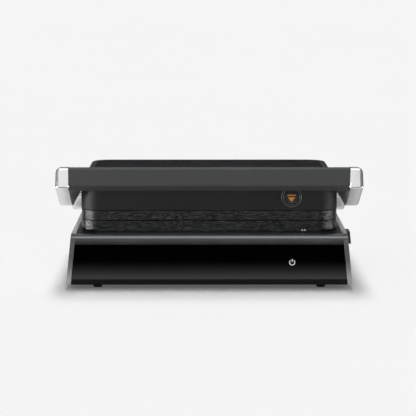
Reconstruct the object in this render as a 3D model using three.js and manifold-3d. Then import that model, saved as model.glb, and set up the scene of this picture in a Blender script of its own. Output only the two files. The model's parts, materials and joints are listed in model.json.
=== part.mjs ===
// A contact grill (panini press) with a floating lid, in millimetres.
// +X is to the right, +Y to the rear, +Z up. The origin is on the surface that the feet stand on,
// under the middle of the overall box. Every piece is drawn where it sits with the press closed.

import * as THREE from 'three';
import { mergeVertices } from 'three/addons/utils/BufferGeometryUtils.js';
import Module from 'manifold-3d';

const wasm = await Module();
wasm.setup();

// ---- driving dimensions ----

const GAP = 0.3; // clearance between pieces that touch

// base
const UNDER_Z = 4.8; // underside of the base
const DECK_Z = 65.5; // flat top of the base
const HALF_AT_DECK = 163.3; // half width over the side panels at the deck
const HALF_AT_UNDER = 169.6; // and at the underside, because the sides lean out
const BASE_FRONT = -155.5;
const BASE_REAR = 142.5;
const WALL = 3;
const SIDE_PANEL = 5.5; // thickness of an aluminium side panel
const SIDE_PANEL_UNDER = 5.4; // height of its lower edge
const GLASS = { thick: 3, bottom: 11.7, top: 52.9 };
const BEZEL_END_Z = 59.3; // the bezel covers the side panels' front corners above this height
const BEZEL_BACK = -148.6;
const BEZEL_ROUND = 5.8; // radius of its upper front edge

// grill plates and lid
const PLATE = { half: 153.2, front: -129.5, rear: 136, radius: 24 };
const LOWER_PLATE = { face: 78.2, back: 65.9 };
const UPPER_PLATE = { face: 79.2, back: 90 };
const RIB = { pitch: 12.4, count: 22, top: 3.4, foot: 7, drop: 0.5, depth: 4.7 };
const CHANNEL = 7; // width of the grease channel round the ribs
const RIM = 5.5;
const LID = { half: 153.5, front: -129.5, rear: 141.5, radius: 24, bottom: 90.3, top: 124, edge: 2.5 };
const LID_SKIN = 4.5;
const TOP_PANEL = { inset: 8, radius: 17, thick: 1.8 };
const PAN = { half: 124.5, length: 104.5, centre: 3.25, depth: 16, sheet: 1 };

// hinge line, arms and handle
const HINGE = { y: 145.5, z: 78.5 };
const SHAFT = { radius: 5, half: 172 };
const TOWER = { inner: 154.4, outer: 162.8, radius: 13, foot: 42 };
const BUSH_RADIUS = 8;
const ARM = { inner: 164.6, outer: 180.7, front: -167.5, top: 145.5, underside: 90.5, edge: 3 };
const ARM_TOP = { bend: -156, lean: 1, round: 7 }; // flat as far as the bend, then it falls to the hub
const ARM_SLOPE = { from: 121.4, to: -92 }; // the cap's lower edge, and where its slope meets the underside
const HUB_RADIUS = 22;
const ARM_COVER = { thick: 2.5, margin: 2 };
const HANDLE = { half: 164.3, top: 144.5, lip: 124.3, bottom: 117.7, back: -148 };
const LID_PIVOT = { y: 5.5, z: 103.5, radius: 4, head: 6.5 };

// drip tray, controls and fixings
const TRAY = { front: 54, rear: 126, bottom: 17, top: 37.5, inner: -14, wall: 1.6 };
const TRAY_WINDOW = { front: 52, rear: 128, bottom: 14, top: 40 };
const DRAIN = { x: -140.5, y: 110, radius: 3 };
const LID_BUTTON = { x: 98, z: 106.7, radius: 8.4, ring: 11.8 };
const SLIDER = { x: 112, half: 4.5, front: -138, rear: -130, top: 70.2 };
const LOCK = { front: -97, rear: -73, bottom: 45.7, top: 60.5, stand: 6, travel: 10 };
const GLAND = { x: -100, z: 20, radius: 6, collar: 9, bore: 3.6, front: 136, rear: 150 };
const COVER = { half: 158.6, front: -148.3, rear: 139.1, top: UNDER_Z + 2.8 };
const VENT = { first: 20, last: 100, pitch: 16, width: 5, front: -60, rear: 20 };
const FOOT = { sole: 4.9, top: 6.7, stud: 2.5, reach: 4 };
const SCREW = { head: 3.5, under: UNDER_Z - 1.7, shank: 1.6, end: 20 };
const BOSS = { radius: 4.5, under: COVER.top + GAP, bore: 1.9, depth: 24 };
const BOARD = { left: -60, right: 148, front: -147.6, back: -146, bottom: 14, top: 48 };
const TERMINALS = { left: -116, right: -84, front: 126, bottom: 42, top: 54, well: 2.4 };
const STEM = { radius: 3, end: -105.5 }; // the lid button's stem and its rear end
const LATCH = { half: 4, bottom: 86.2, top: 87.8 }; // the lid button's tooth
const SPRING = { outer: 4.8, inner: 3.4, front: -119.2, rear: -112.8 };
const SCREW_PLACES = [
  ['front_left', -145, -120],
  ['front_right', 145, -120],
  ['rear_left', -145, 134],
  ['rear_right', 145, 134],
];
const FOOT_PLACES = [
  ['front_left', -133, -136.8],
  ['front_right', 133, -136.8],
  ['rear_left', -133, 122],
  ['rear_right', 133, 122],
];

const FINE = 32; // sides of a visible round
const COARSE = 16; // sides of a hidden round

// ---- shapes ----

const X = new THREE.Vector3(1, 0, 0);
const Y = new THREE.Vector3(0, 1, 0);
const Z = new THREE.Vector3(0, 0, 1);
const ALONG_X = new THREE.Matrix4().makeBasis(Y, Z, X); // an outline in (y, z), drawn out along x
const ALONG_Y = new THREE.Matrix4().makeBasis(X, Z, Y.clone().negate()); // (x, z), drawn out along y

// A closed geometry as a solid: its vertices are merged and its slivers dropped.
function solid(geometry) {
  geometry.deleteAttribute('normal');
  geometry.deleteAttribute('uv');
  const merged = mergeVertices(geometry, 1e-4);
  const kept = [];
  for (let i = 0; i < merged.index.count; i += 3) {
    const [a, b, c] = [0, 1, 2].map((k) => merged.index.getX(i + k));
    if (a !== b && b !== c && c !== a) {
      kept.push(a, b, c);
    }
  }
  const vertProperties = merged.getAttribute('position').array;
  return new wasm.Manifold(new wasm.Mesh({ numProp: 3, vertProperties, triVerts: new Uint32Array(kept) }));
}

function join(first, ...others) {
  return others.reduce((whole, other) => whole.add(other), first);
}

function cut(first, ...tools) {
  return tools.reduce((whole, tool) => whole.subtract(tool), first);
}

function common(first, second) {
  return first.intersect(second);
}

// A closed outline from corners [u, v] or [u, v, radius].
function outline(corners) {
  const shape = new THREE.Shape();
  const points = corners.map(([u, v]) => new THREE.Vector2(u, v));
  corners.forEach(([u, v, radius = 0], i) => {
    const before = points[(i + points.length - 1) % points.length];
    const after = points[(i + 1) % points.length];
    const start = before.clone().sub(points[i]).setLength(radius).add(points[i]);
    const end = after.clone().sub(points[i]).setLength(radius).add(points[i]);
    if (i === 0) {
      shape.moveTo(start.x, start.y);
    } else {
      shape.lineTo(start.x, start.y);
    }
    if (radius > 0) {
      shape.quadraticCurveTo(u, v, end.x, end.y);
    }
  });
  return shape;
}

function roundedRectangle(x0, x1, y0, y1, radius) {
  const shape = new THREE.Shape();
  shape.absarc(x1 - radius, y0 + radius, radius, -Math.PI / 2, 0);
  shape.absarc(x1 - radius, y1 - radius, radius, 0, Math.PI / 2);
  shape.absarc(x0 + radius, y1 - radius, radius, Math.PI / 2, Math.PI);
  shape.absarc(x0 + radius, y0 + radius, radius, Math.PI, Math.PI * 1.5);
  return shape;
}

// An outline drawn out along an axis between two places.
function prism(shape, axis, from, to, curveSegments = 8) {
  const [low, high] = [Math.min(from, to), Math.max(from, to)];
  const drawing = { depth: high - low, bevelEnabled: false, curveSegments };
  const geometry = new THREE.ExtrudeGeometry(shape, drawing);
  if (axis === 'x') {
    geometry.applyMatrix4(ALONG_X).translate(low, 0, 0);
  } else if (axis === 'y') {
    geometry.applyMatrix4(ALONG_Y).translate(0, high, 0);
  } else {
    geometry.translate(0, 0, low);
  }
  return solid(geometry);
}

function block(x0, x1, y0, y1, z0, z1) {
  const geometry = new THREE.BoxGeometry(Math.abs(x1 - x0), Math.abs(y1 - y0), Math.abs(z1 - z0));
  return solid(geometry.translate((x0 + x1) / 2, (y0 + y1) / 2, (z0 + z1) / 2));
}

// A round bar along an axis; the centre is (y, z), (x, z) or (x, y) for an axis of x, y or z.
function bar(axis, radius, from, to, [u, v], sides = COARSE, endRadius = radius) {
  const geometry = new THREE.CylinderGeometry(endRadius, radius, Math.abs(to - from), sides);
  const middle = (from + to) / 2;
  if (axis === 'x') {
    geometry.rotateZ(-Math.PI / 2).translate(middle, u, v);
  } else if (axis === 'y') {
    geometry.translate(u, middle, v);
  } else {
    geometry.rotateX(Math.PI / 2).translate(u, v, middle);
  }
  return solid(geometry);
}

// Half width of the base over its side panels at a height.
function halfWidth(z) {
  return HALF_AT_DECK + ((DECK_Z - z) * (HALF_AT_UNDER - HALF_AT_DECK)) / (DECK_Z - UNDER_Z);
}

// Everything between the leaning sides, drawn in from them by an inset.
function betweenSides(inset, bottom = 0, top = DECK_Z + 10) {
  const low = halfWidth(bottom) - inset;
  const high = halfWidth(top) - inset;
  const shape = outline([[-low, bottom], [low, bottom], [high, top], [-high, top]]);
  return prism(shape, 'y', BASE_FRONT - 10, BASE_REAR + 10);
}

// A slab that follows one leaning side, between two distances outside it.
function sideSlab(side, from, to, [y0, y1], [z0, z1]) {
  const corners = [[z0, from], [z0, to], [z1, to], [z1, from]];
  const shape = outline(corners.map(([z, distance]) => [side * (halfWidth(z) + distance), z]));
  return prism(shape, 'y', y0, y1);
}

// ---- pieces of the base ----

const PANEL_INSET = SIDE_PANEL + GAP; // the housing and the glass end this far inside the outer sides

function baseHousing() {
  const step = GLASS.top;
  const outer = outline([
    [-152.6, UNDER_Z],
    [-155.2, 11.4],
    [-152.2, 11.4],
    [-152.2, step],
    [-151.4, step],
    [-151.4, 57.1],
    [BEZEL_BACK + GAP, 62.6],
    [BEZEL_BACK + GAP, DECK_Z],
    [BASE_REAR, DECK_Z, 2],
    [BASE_REAR, UNDER_Z, 2],
  ]);
  const inner = outline([
    [-148.7, UNDER_Z - 5],
    [-148.7, 56],
    [-145.3, 62],
    [-145.3, DECK_Z - WALL],
    [BASE_REAR - WALL, DECK_Z - WALL],
    [BASE_REAR - WALL, UNDER_Z - 5],
  ]);
  const shell = cut(
    common(prism(outer, 'x', -180, 180), betweenSides(PANEL_INSET)),
    common(prism(inner, 'x', -180, 180), betweenSides(PANEL_INSET + WALL)),
  );
  const ceiling = DECK_Z - WALL + 1;
  const bosses = SCREW_PLACES.map(([, x, y]) => bar('z', BOSS.radius, BOSS.under, ceiling, [x, y]));
  const bores = SCREW_PLACES.map(([, x, y]) => bar('z', BOSS.bore, 0, BOSS.depth, [x, y], 12));
  const well = PAN.half + 1;
  const wellLength = PAN.length + 1;
  return cut(
    join(shell, ...bosses),
    ...bores,
    block(-well, well, PAN.centre - wellLength, PAN.centre + wellLength, 60, 70),
    bar('z', DRAIN.radius + 2, 60, 70, [DRAIN.x, DRAIN.y]),
    block(-175, -150, TRAY.front - 1, TRAY.rear + 1, TRAY.bottom - 1, TRAY.top + 1),
    lockSlot(),
    block(SLIDER.x - 3.5, SLIDER.x + 3.5, -142, -132.4, 60, 70),
    bar('y', GLAND.radius + GAP, 130, 150, [GLAND.x, GLAND.z], 24),
  );
}

function lockSlot() {
  return block(150, 175, -88.5, -81.5 + LOCK.travel, 49.1, 54.9);
}

function bottomCover() {
  const edge = roundedRectangle(-COVER.half, COVER.half, COVER.front, COVER.rear, 4);
  const plate = prism(edge, 'z', UNDER_Z + GAP, COVER.top, 4);
  const under = TRAY.bottom - GAP;
  const railPlaces = [TRAY.front + 4, TRAY.rear - 4];
  const rails = railPlaces.map((y) => block(-154, -16, y - 2, y + 2, COVER.top - 1, under));
  const screwHoles = SCREW_PLACES.map(([, x, y]) => bar('z', SCREW.shank + 0.5, 0, 20, [x, y], 12));
  const footHoles = FOOT_PLACES.map(([, x, y]) => bar('z', FOOT.stud + GAP, 0, 20, [x, y], 12));
  const vents = [];
  for (let x = VENT.first; x <= VENT.last; x += VENT.pitch) {
    vents.push(block(x, x + VENT.width, VENT.front, VENT.rear, 0, 20));
  }
  return cut(join(plate, ...rails), ...screwHoles, ...footHoles, ...vents);
}

function foot(x, y) {
  const pad = bar('z', FOOT.sole, 0, UNDER_Z, [x, y], 24, FOOT.top);
  return join(pad, bar('z', FOOT.stud, UNDER_Z - 1, UNDER_Z + FOOT.reach, [x, y], 12));
}

function coverScrew(x, y) {
  const head = bar('z', SCREW.head, SCREW.under, UNDER_Z, [x, y]);
  const shank = bar('z', SCREW.shank, UNDER_Z - 0.5, SCREW.end, [x, y], 12);
  const drive = block(x - 2.4, x + 2.4, y - 0.4, y + 0.4, SCREW.under - 1, SCREW.under + 0.8);
  return cut(join(head, shank), drive);
}

// The strip along the top of the front, which also caps the side panels' front corners.
function frontBezel() {
  const section = outline([
    [BASE_FRONT, GLASS.top + GAP],
    [BASE_FRONT + 0.5, DECK_Z - 0.3, BEZEL_ROUND],
    [BEZEL_BACK, DECK_Z],
    [BEZEL_BACK, 62.5],
    [-151.7, 57],
    [-151.9, GLASS.top + GAP],
  ]);
  const strip = common(prism(section, 'x', -180, 180), betweenSides(0));
  const low = [BASE_FRONT - 5, BEZEL_BACK + 5];
  const ends = [-1, 1].map((side) => sideSlab(side, -PANEL_INSET, 10, low, [40, BEZEL_END_Z]));
  return cut(strip, ...ends);
}

function controlGlass() {
  const plate = block(-180, 180, BASE_FRONT, BASE_FRONT + GLASS.thick, GLASS.bottom, GLASS.top);
  return common(plate, betweenSides(PANEL_INSET));
}

function sidePanel(side) {
  const profile = outline([
    [BASE_FRONT + GAP, SIDE_PANEL_UNDER],
    [BASE_FRONT + GAP, BEZEL_END_Z - GAP],
    [BEZEL_BACK + GAP, BEZEL_END_Z - GAP],
    [BEZEL_BACK + GAP, DECK_Z],
    [BASE_REAR - GAP, DECK_Z, 2],
    [BASE_REAR - GAP, SIDE_PANEL_UNDER, 2],
  ]);
  const length = [BASE_FRONT - 5, BASE_REAR + 5];
  const slab = sideSlab(side, -SIDE_PANEL, 0, length, [SIDE_PANEL_UNDER, DECK_Z]);
  const panel = common(prism(profile, 'x', side * 140, side * 180), slab);
  if (side > 0) {
    return cut(panel, lockSlot());
  }
  const window = [TRAY_WINDOW.front, TRAY_WINDOW.rear, TRAY_WINDOW.bottom, TRAY_WINDOW.top];
  return cut(panel, block(-180, -150, ...window));
}

function controlBoard() {
  const { left, right, front, back, bottom, top } = BOARD;
  const board = block(left, right, front, back, bottom, top);
  const display = block(-20, 40, back - 0.2, back + 3, bottom + 8, top - 6);
  const touchCell = block(90, 106, back - 0.2, back + 2.5, bottom + 12, top - 8);
  return join(board, display, touchCell);
}

function hingeTower(side) {
  const { y, z } = HINGE;
  const web = outline([
    [112, DECK_Z + GAP, 2],
    [130, 86, 10],
    [y, z + TOWER.radius],
    [y + TOWER.radius, z],
    [y + TOWER.radius - 3, TOWER.foot, 3],
    [BASE_REAR + GAP, TOWER.foot],
    [BASE_REAR + GAP, DECK_Z + GAP],
  ]);
  const ends = [side * TOWER.inner, side * TOWER.outer];
  const bore = bar('x', BUSH_RADIUS + GAP, side * 140, side * 170, [y, z], 24);
  return cut(join(prism(web, 'x', ...ends), bar('x', TOWER.radius, ...ends, [y, z], FINE)), bore);
}

function hingeBush(side) {
  const place = [HINGE.y, HINGE.z];
  const sleeve = bar('x', BUSH_RADIUS, side * TOWER.inner, side * TOWER.outer, place, 24);
  return cut(sleeve, bar('x', SHAFT.radius + GAP, side * 140, side * 170, place, 24));
}

function hingeShaft() {
  return bar('x', SHAFT.radius, -SHAFT.half, SHAFT.half, [HINGE.y, HINGE.z], 24);
}

function cableGland() {
  const centre = [GLAND.x, GLAND.z];
  const body = join(
    bar('y', GLAND.radius, GLAND.front, BASE_REAR + 1, centre, 24),
    bar('y', GLAND.collar, BASE_REAR + GAP, BASE_REAR + 2.5, centre, 24),
    bar('y', GLAND.radius + 0.5, BASE_REAR + 1.5, GLAND.rear, centre, 24, GLAND.radius - 0.8),
  );
  return cut(body, bar('y', GLAND.bore, GLAND.front - 6, GLAND.rear + 5, centre));
}

function terminalBlock() {
  const { left, right, front, bottom, top, well } = TERMINALS;
  const bodyBlock = block(left, right, front, BASE_REAR - WALL - GAP, bottom, top);
  const wells = [-10, 0, 10].map((step) => {
    return bar('z', well, bottom + 6, top + 6, [(left + right) / 2 + step, front + 6], 12);
  });
  return cut(bodyBlock, ...wells);
}

// ---- grill plates, heaters and reflectors; 'up' is 1 for the lower set and -1 for the upper ----

function plateBlank(from, to) {
  const shape = roundedRectangle(-PLATE.half, PLATE.half, PLATE.front, PLATE.rear, PLATE.radius);
  return prism(shape, 'z', from, to, 8);
}

// The hollow of the cooking face: a comb that leaves the ribs standing, and a channel round them.
function ribHollow(face, up) {
  const at = (depth) => face - up * depth;
  const edge = PLATE.half - RIM;
  const comb = [[-edge, at(-2)], [-edge, at(RIB.depth)]];
  const first = (-(RIB.count - 1) / 2) * RIB.pitch;
  for (let i = 0; i < RIB.count; i += 1) {
    const x = first + i * RIB.pitch;
    comb.push([x - RIB.foot / 2, at(RIB.depth)]);
    comb.push([x - RIB.top / 2, at(RIB.drop)]);
    comb.push([x + RIB.top / 2, at(RIB.drop)]);
    comb.push([x + RIB.foot / 2, at(RIB.depth)]);
  }
  comb.push([edge, at(RIB.depth)], [edge, at(-2)]);
  const front = PLATE.front + RIM;
  const rear = PLATE.rear - RIM;
  const hollow = join(
    prism(outline(comb), 'y', front, rear),
    block(-edge, edge, front, front + CHANNEL, at(-2), at(RIB.depth)),
    block(-edge, edge, rear - CHANNEL, rear, at(-2), at(RIB.depth)),
  );
  const rounded = roundedRectangle(-edge, edge, front, rear, PLATE.radius - RIM);
  return common(hollow, prism(rounded, 'z', face - 20, face + 20, 6));
}

function grillPlate({ face, back }, up) {
  const skirt = RIM + 1;
  const cavityFace = face - up * (RIB.depth + 1.7);
  const cavity = roundedRectangle(
    -PLATE.half + skirt,
    PLATE.half - skirt,
    PLATE.front + skirt,
    PLATE.rear - skirt,
    PLATE.radius - skirt,
  );
  return cut(
    plateBlank(Math.min(face, back), Math.max(face, back)),
    ribHollow(face, up),
    prism(cavity, 'z', cavityFace, back - up * 5, 6),
  );
}

function lowerPlate() {
  const latchPocket = block(SLIDER.x - 4, SLIDER.x + 4, PLATE.front - 2, PLATE.front + 3, 67.9, 70.1);
  return cut(
    grillPlate(LOWER_PLATE, 1),
    bar('z', DRAIN.radius, 60, 80, [DRAIN.x, DRAIN.y]),
    latchPocket,
  );
}

function upperPlate() {
  const half = LATCH.half + 1;
  const depths = [PLATE.front + 3, PLATE.front + 8];
  const heights = [LATCH.bottom - GAP, LATCH.top + 0.4];
  const latchPocket = block(LID_BUTTON.x - half, LID_BUTTON.x + half, ...depths, ...heights);
  return cut(grillPlate(UPPER_PLATE, -1), latchPocket);
}

function panBlock(inset, from, to) {
  const half = PAN.half - inset;
  const length = PAN.length - inset;
  return block(-half, half, PAN.centre - length, PAN.centre + length, from, to);
}

function lowerReflector() {
  const lip = DECK_Z + GAP;
  const flange = panBlock(-7.5, lip, lip + 0.8);
  const bottom = DECK_Z - PAN.depth;
  return cut(join(flange, panBlock(0, bottom, lip + 0.8)), panBlock(PAN.sheet, bottom + PAN.sheet, 80));
}

function upperReflector() {
  const lip = LID.bottom + GAP;
  const inset = WALL + GAP;
  const edge = roundedRectangle(
    -LID.half + inset,
    LID.half - inset,
    LID.front + inset,
    LID.rear - inset,
    LID.radius - inset,
  );
  return cut(
    join(prism(edge, 'z', lip, lip + 0.8, 6), panBlock(0, lip, 108)),
    panBlock(PAN.sheet, 80, 107),
    block(LID_BUTTON.x - 7, LID_BUTTON.x + 7, -140, -112, 80, 100),
  );
}

// An open loop with rounded corners, its ends side by side at the rear.
class HeaterLoop extends THREE.Curve {
  constructor(z) {
    super();
    this.z = z;
  }

  getPoint(t, target = new THREE.Vector3()) {
    const opening = 0.12;
    const angle = Math.PI / 2 + opening + t * (2 * Math.PI - 2 * opening);
    const squared = (value) => Math.sign(value) * Math.sqrt(Math.abs(value));
    return target.set(95 * squared(Math.cos(angle)), PAN.centre + 78 * squared(Math.sin(angle)), this.z);
  }
}

function heater(z) {
  const sides = 6;
  const circle = new THREE.EllipseCurve(0, 0, 3.2, 3.2).getPoints(sides).slice(0, sides);
  const drawing = { steps: 32, extrudePath: new HeaterLoop(z) };
  return solid(new THREE.ExtrudeGeometry(new THREE.Shape(circle), drawing));
}

function thermostat(from, to) {
  return bar('z', 11, from, to, [40, PAN.centre], 24);
}

// ---- lid ----

function lidBlank(inset, from, to, radius) {
  const shape = roundedRectangle(
    -LID.half + inset,
    LID.half - inset,
    LID.front + inset,
    LID.rear - inset,
    radius,
  );
  return prism(shape, 'z', from, to, 5);
}

function lidHousing() {
  const shape = roundedRectangle(-LID.half, LID.half, LID.front, LID.rear, LID.radius);
  const bevel = { bevelThickness: LID.edge, bevelSize: LID.edge, bevelOffset: -LID.edge, bevelSegments: 2 };
  const depth = LID.top - LID.bottom;
  const body = new THREE.ExtrudeGeometry(shape, { depth, curveSegments: 7, ...bevel });
  body.translate(0, 0, LID.bottom - LID.edge);
  const outer = common(solid(body), block(-200, 200, -200, 200, LID.bottom, LID.top));
  const bracket = block(LID_BUTTON.x - 8, LID_BUTTON.x + 8, -109, -106, 97, LID.top - LID_SKIN + 1);
  const shell = cut(outer, lidBlank(WALL, LID.bottom - 5, LID.top - LID_SKIN, LID.radius - WALL));
  const centre = [LID_BUTTON.x, LID_BUTTON.z];
  return cut(
    join(shell, bracket),
    lidBlank(TOP_PANEL.inset, LID.top - 2, LID.top + 5, TOP_PANEL.radius),
    bar('x', LID_PIVOT.radius + 0.4, -170, 170, [LID_PIVOT.y, LID_PIVOT.z], 24),
    bar('y', LID_BUTTON.radius + 0.4, -135, -124, centre, FINE),
    bar('y', STEM.radius + GAP, -112, -103, centre),
  );
}

function lidTopPanel() {
  const inset = TOP_PANEL.inset + GAP;
  return lidBlank(inset, LID.top - TOP_PANEL.thick + 0.1, LID.top, TOP_PANEL.radius - GAP);
}

function buttonRing() {
  const centre = [LID_BUTTON.x, LID_BUTTON.z];
  const ring = bar('y', LID_BUTTON.ring, LID.front - 0.9, LID.front - GAP, centre, FINE);
  return cut(ring, bar('y', LID_BUTTON.radius + 0.4, -140, -120, centre, FINE));
}

function lidButton() {
  const centre = [LID_BUTTON.x, LID_BUTTON.z];
  const { x } = LID_BUTTON;
  return join(
    bar('y', LID_BUTTON.radius, LID.front - 1.5, LID.front + 2.5, centre, FINE),
    bar('y', STEM.radius, LID.front + 1.5, STEM.end, centre),
    block(x - LATCH.half, x + LATCH.half, -122.5, -119.5, LATCH.bottom, LID_BUTTON.z),
    block(x - LATCH.half, x + LATCH.half, -126, -122, LATCH.bottom, LATCH.top),
  );
}

function buttonSpring() {
  const { outer, inner, front, rear } = SPRING;
  const centre = [LID_BUTTON.x, LID_BUTTON.z];
  return cut(bar('y', outer, front, rear, centre), bar('y', inner, front - 1, rear + 1, centre));
}

// ---- arms and handle ----

// The arm from the side, drawn in by an inset: a wedge that runs into the round hub.
function armOutline(inset) {
  const radius = HUB_RADIUS - inset;
  const [first, last, steps] = [82, -195, 22];
  const hub = [];
  for (let i = 0; i <= steps; i += 1) {
    const angle = THREE.MathUtils.degToRad(first + ((last - first) * i) / steps);
    hub.push([HINGE.y + radius * Math.cos(angle), HINGE.z + radius * Math.sin(angle)]);
  }
  return outline([
    [ARM.front + inset, ARM_SLOPE.from + 0.2 * inset],
    [ARM.front + inset, ARM.top - inset],
    [ARM_TOP.bend, ARM.top - inset],
    ...hub,
    [119 + inset, ARM.underside + inset],
    [ARM_SLOPE.to + 0.2 * inset, ARM.underside + inset, 12],
  ]);
}

// A long bar that ends the arm above and outside, turned down from the bend by an angle. The outer
// side leans in above the cap's lower edge, and its upper edge is well rounded.
function armLimit(side, angle) {
  const { inner, outer, top } = ARM;
  const corners = [
    [inner - 20, -160],
    [outer, -160],
    [outer, ARM_SLOPE.from - top],
    [outer - ARM_TOP.lean, 0, ARM_TOP.round],
    [inner - 20, 0],
  ];
  const section = outline(corners.map(([x, z, radius]) => [side * x, z, radius]));
  const length = 500;
  const drawing = { depth: length, bevelEnabled: false, curveSegments: 5 };
  const geometry = new THREE.ExtrudeGeometry(section, drawing);
  geometry.applyMatrix4(ALONG_Y).translate(0, length / 2, 0);
  geometry.rotateX(-angle).translate(0, ARM_TOP.bend, top);
  return solid(geometry);
}

// The arm's full width, with its outer edges rounded off.
function armBlank(side) {
  const { inner, outer, edge } = ARM;
  const bevel = { bevelThickness: edge, bevelSize: edge, bevelOffset: -edge, bevelSegments: 2 };
  const drawing = { depth: outer - edge - inner, curveSegments: 4, ...bevel };
  const geometry = new THREE.ExtrudeGeometry(armOutline(0), drawing);
  geometry.applyMatrix4(ALONG_X).translate(side > 0 ? inner : edge - outer, 0, 0);
  const inside = block(side * (inner - 10), side * inner, -200, 200, 0, 200);
  const fall = Math.atan2(ARM.top - HINGE.z - HUB_RADIUS, HINGE.y - ARM_TOP.bend);
  const limited = common(common(solid(geometry), armLimit(side, 0)), armLimit(side, fall));
  return cut(limited, inside);
}

function armInset(inset, from, to) {
  return prism(armOutline(inset), 'x', from, to, 3);
}

function arm(side) {
  const floor = ARM.inner + ARM_COVER.thick + GAP;
  const pivot = [LID_PIVOT.y, LID_PIVOT.z];
  const pocketShape = outline([
    [-158, 128, 3],
    [-158, 138, 3],
    [-150, 138, 4],
    [112, 101, 1.5],
    [112, 97, 1.5],
    [-90, 97, 6],
  ]);
  const pocket = cut(
    prism(pocketShape, 'x', side * (floor - 1), side * (ARM.outer - 3), 3),
    bar('x', 9, side * 150, side * 190, pivot, 24),
  );
  return cut(
    armBlank(side),
    armInset(ARM_COVER.margin, side * (ARM.inner - 5), side * floor),
    pocket,
    bar('x', LID_PIVOT.radius + GAP, side * 150, side * 172, pivot, COARSE),
    bar('x', SHAFT.radius + GAP, side * 150, side * (SHAFT.half + 1), [HINGE.y, HINGE.z], 24),
  );
}

function armCover(side) {
  return cut(
    armInset(ARM_COVER.margin + GAP, side * ARM.inner, side * (ARM.inner + ARM_COVER.thick)),
    bar('x', LID_PIVOT.radius + GAP, side * 150, side * 190, [LID_PIVOT.y, LID_PIVOT.z], COARSE),
    bar('x', SHAFT.radius + GAP, side * 150, side * 190, [HINGE.y, HINGE.z], 24),
  );
}

function lidPivotPin(side) {
  const inside = LID.half - WALL - GAP; // the head lies against the lid's inner wall
  const centre = [LID_PIVOT.y, LID_PIVOT.z];
  return join(
    bar('x', LID_PIVOT.radius, side * (inside - 2), side * 171, centre, 24),
    bar('x', LID_PIVOT.head, side * (inside - 3), side * inside, centre, 24),
  );
}

function handleBar() {
  const section = outline([
    [ARM.front, HANDLE.lip, 0.8],
    [ARM.front, HANDLE.top, 1.2],
    [HANDLE.back, HANDLE.top, 2.5],
    [HANDLE.back, HANDLE.bottom + 4.2, 2],
    [-152, HANDLE.bottom, 2],
    [-161.5, HANDLE.bottom, 1],
  ]);
  const hollow = outline([
    [ARM.front + WALL, HANDLE.lip + 1.7],
    [ARM.front + WALL, HANDLE.top - WALL],
    [HANDLE.back - WALL, HANDLE.top - WALL],
    [HANDLE.back - WALL, HANDLE.bottom + 5.7],
    [-154, HANDLE.bottom + WALL],
    [-160, HANDLE.bottom + WALL],
  ]);
  return cut(prism(section, 'x', -HANDLE.half, HANDLE.half, 4), prism(hollow, 'x', -170, 170));
}

// ---- drip tray, lock and lower slider ----

function dripTray() {
  const { front, rear, bottom, top, inner, wall } = TRAY;
  const body = block(-163, inner, front, rear, bottom, top);
  const face = [TRAY_WINDOW.front + 0.4, TRAY_WINDOW.rear - 0.4];
  const heights = [TRAY_WINDOW.bottom + 0.4, TRAY_WINDOW.top - 0.4];
  return cut(
    join(body, sideSlab(-1, -SIDE_PANEL, 0, face, heights)),
    block(-159, inner - wall, front + wall, rear - wall, bottom + wall, top + 5),
    sideSlab(-1, -3, 5, [76, 104], [33, 45]),
  );
}

function lockKnob() {
  const knob = sideSlab(1, 0.4, 0.4 + LOCK.stand, [LOCK.front, LOCK.rear], [LOCK.bottom, LOCK.top]);
  const neck = block(152.3, 166, -88, -82, 49.5, 54.5);
  const ribs = [-93, -89, -85, -81, -77].map((y) => {
    return sideSlab(1, LOCK.stand - 0.2, LOCK.stand + 2, [y - 0.8, y + 0.8], [LOCK.bottom - 1, LOCK.top + 1]);
  });
  return cut(join(knob, neck), ...ribs);
}

function lockRod() {
  return block(149, 152, -92, 100, 49.5, 54.5);
}

// The slider's pad is half round as seen from the front.
function lowerSlider() {
  const { x, half, front, rear, top } = SLIDER;
  const under = DECK_Z + 0.4;
  const pad = outline([[front, under], [front, top - 1, 1], [front + 2, top, 1], [rear, top], [rear, under]]);
  const arch = outline([
    [x - half, under],
    [x - half, top, half - 0.5],
    [x + half, top, half - 0.5],
    [x + half, under],
  ]);
  return join(
    common(prism(pad, 'x', x - half, x + half, 3), prism(arch, 'y', front - 1, rear + 1)),
    block(x - 3, x + 3, rear - 1, PLATE.front + 2.4, 68.2, 69.8),
    block(x - 3, x + 3, -137.5, -133, 61, 67),
    block(x - 6, x + 6, -139, -131.5, 60, DECK_Z - WALL - GAP),
    block(x - 3, x + 3, -139, -136, 51, 61),
  );
}

// ---- assembly ----

const FINISHES = {
  dark: { color: 0x2b2c2e, roughness: 0.5, metalness: 0.1 },
  paint: { color: 0x47494b, roughness: 0.45, metalness: 0.5 },
  silver: { color: 0xc9cbcd, roughness: 0.35, metalness: 0.9 },
  cast: { color: 0x26272a, roughness: 0.65, metalness: 0.4 },
  steel: { color: 0x9a9c9f, roughness: 0.4, metalness: 1 },
  glass: { color: 0x050506, roughness: 0.08, metalness: 0 },
  gloss: { color: 0x15161a, roughness: 0.2, metalness: 0 },
  rubber: { color: 0x161616, roughness: 0.9, metalness: 0 },
  board: { color: 0x1e4a34, roughness: 0.6, metalness: 0 },
};

// The solid as a named mesh with a material of its own, added to a group.
function piece(group, name, body, finish) {
  const { vertProperties, triVerts } = body.getMesh();
  const geometry = new THREE.BufferGeometry();
  geometry.setAttribute('position', new THREE.BufferAttribute(vertProperties, 3));
  geometry.setIndex(new THREE.BufferAttribute(triVerts, 1));
  geometry.computeVertexNormals();
  const mesh = new THREE.Mesh(geometry, new THREE.MeshStandardMaterial(FINISHES[finish]));
  mesh.name = name;
  group.add(mesh);
}

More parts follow.
